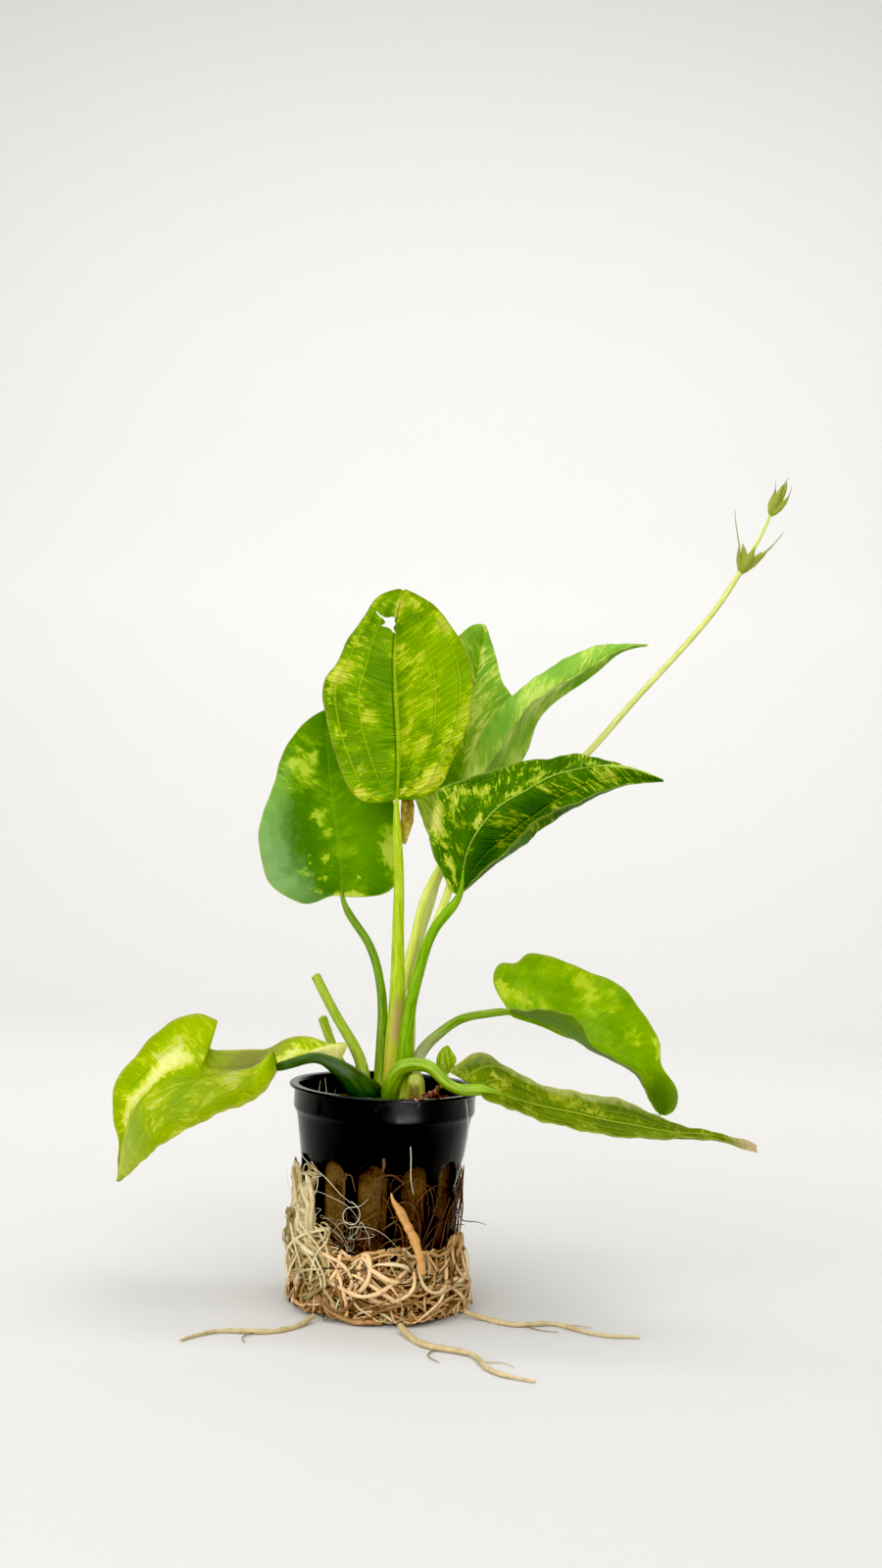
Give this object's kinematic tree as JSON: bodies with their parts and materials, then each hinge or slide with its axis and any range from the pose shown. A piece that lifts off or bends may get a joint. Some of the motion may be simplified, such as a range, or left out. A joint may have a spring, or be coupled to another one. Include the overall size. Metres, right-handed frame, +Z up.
{
  "type": "echinodorus plant in a net pot",
  "caption": "Variegated amazon sword plant with broad veined leaves on long stalks, a slanting flower stem and a tangle of roots, growing in a small black net pot.",
  "frame": {"origin": "centre of the net pot's flat underside, on the surface it stands on", "axes": "+Z up, +X to the right and +Y away from the viewer, seen from the front of the picture"},
  "size_m": [0.1732, 0.1125, 0.2266],
  "materials": {
    "pot_plastic": "moulded black polypropylene, glossy, with a faint bloom of dried water",
    "mineral_wool": "dark brown rooted-through mineral wool, rough and fibrous",
    "crown_tissue": "yellow-green to brown leaf bases, matt",
    "leaf_blade": "variegated green and pale yellow leaf, satin, a little translucent",
    "leaf_stalk": "smooth yellow-green stalk, satin",
    "withered_leaf": "dried brown leaf, matt",
    "flower_stalk": "pale yellow-green flower stalk, satin",
    "flower_bud": "green buds in thin pale bracts",
    "brown_root": "tangled brown roots, rough, damp",
    "pale_root": "cream young roots, satin",
    "tan_root": "smooth tan root, satin"
  },
  "bodies": {
    "root": {"crown": "crown_tissue", "cut_stalk_short": "leaf_stalk", "cut_stalk_tall": "leaf_stalk", "cut_stump": "leaf_stalk", "flower_stem": "flower_stalk", "flower_stem_tip": "flower_stalk", "flower_whorl": "flower_bud", "left_back_leaf_blade": "leaf_blade", "left_back_leaf_stalk": "leaf_stalk", "left_low_leaf_blade": "leaf_blade", "left_low_leaf_stalk": "leaf_stalk", "net_pot": "pot_plastic", "new_leaf_blade": "leaf_blade", "new_leaf_stalk": "leaf_stalk", "pale_root_bundle": "pale_root", "right_back_leaf_blade": "leaf_blade", "right_back_leaf_stalk": "leaf_stalk", "right_front_leaf_blade": "leaf_blade", "right_front_leaf_stalk": "leaf_stalk", "right_low_leaf_blade": "leaf_blade", "right_low_leaf_stalk": "leaf_stalk", "right_middle_leaf_blade": "leaf_blade", "right_middle_leaf_stalk": "leaf_stalk", "root_mat": "brown_root", "tall_back_leaf_blade": "leaf_blade", "tall_back_leaf_stalk": "leaf_stalk", "tan_root": "tan_root", "top_buds": "flower_bud", "top_leaf_blade": "leaf_blade", "top_leaf_stalk": "leaf_stalk", "trailing_root_1": "pale_root", "trailing_root_2": "pale_root", "trailing_root_3": "pale_root", "trailing_root_4": "pale_root", "withered_lobe": "withered_leaf", "wool_plug": "mineral_wool"}
  },
  "joints": []
}
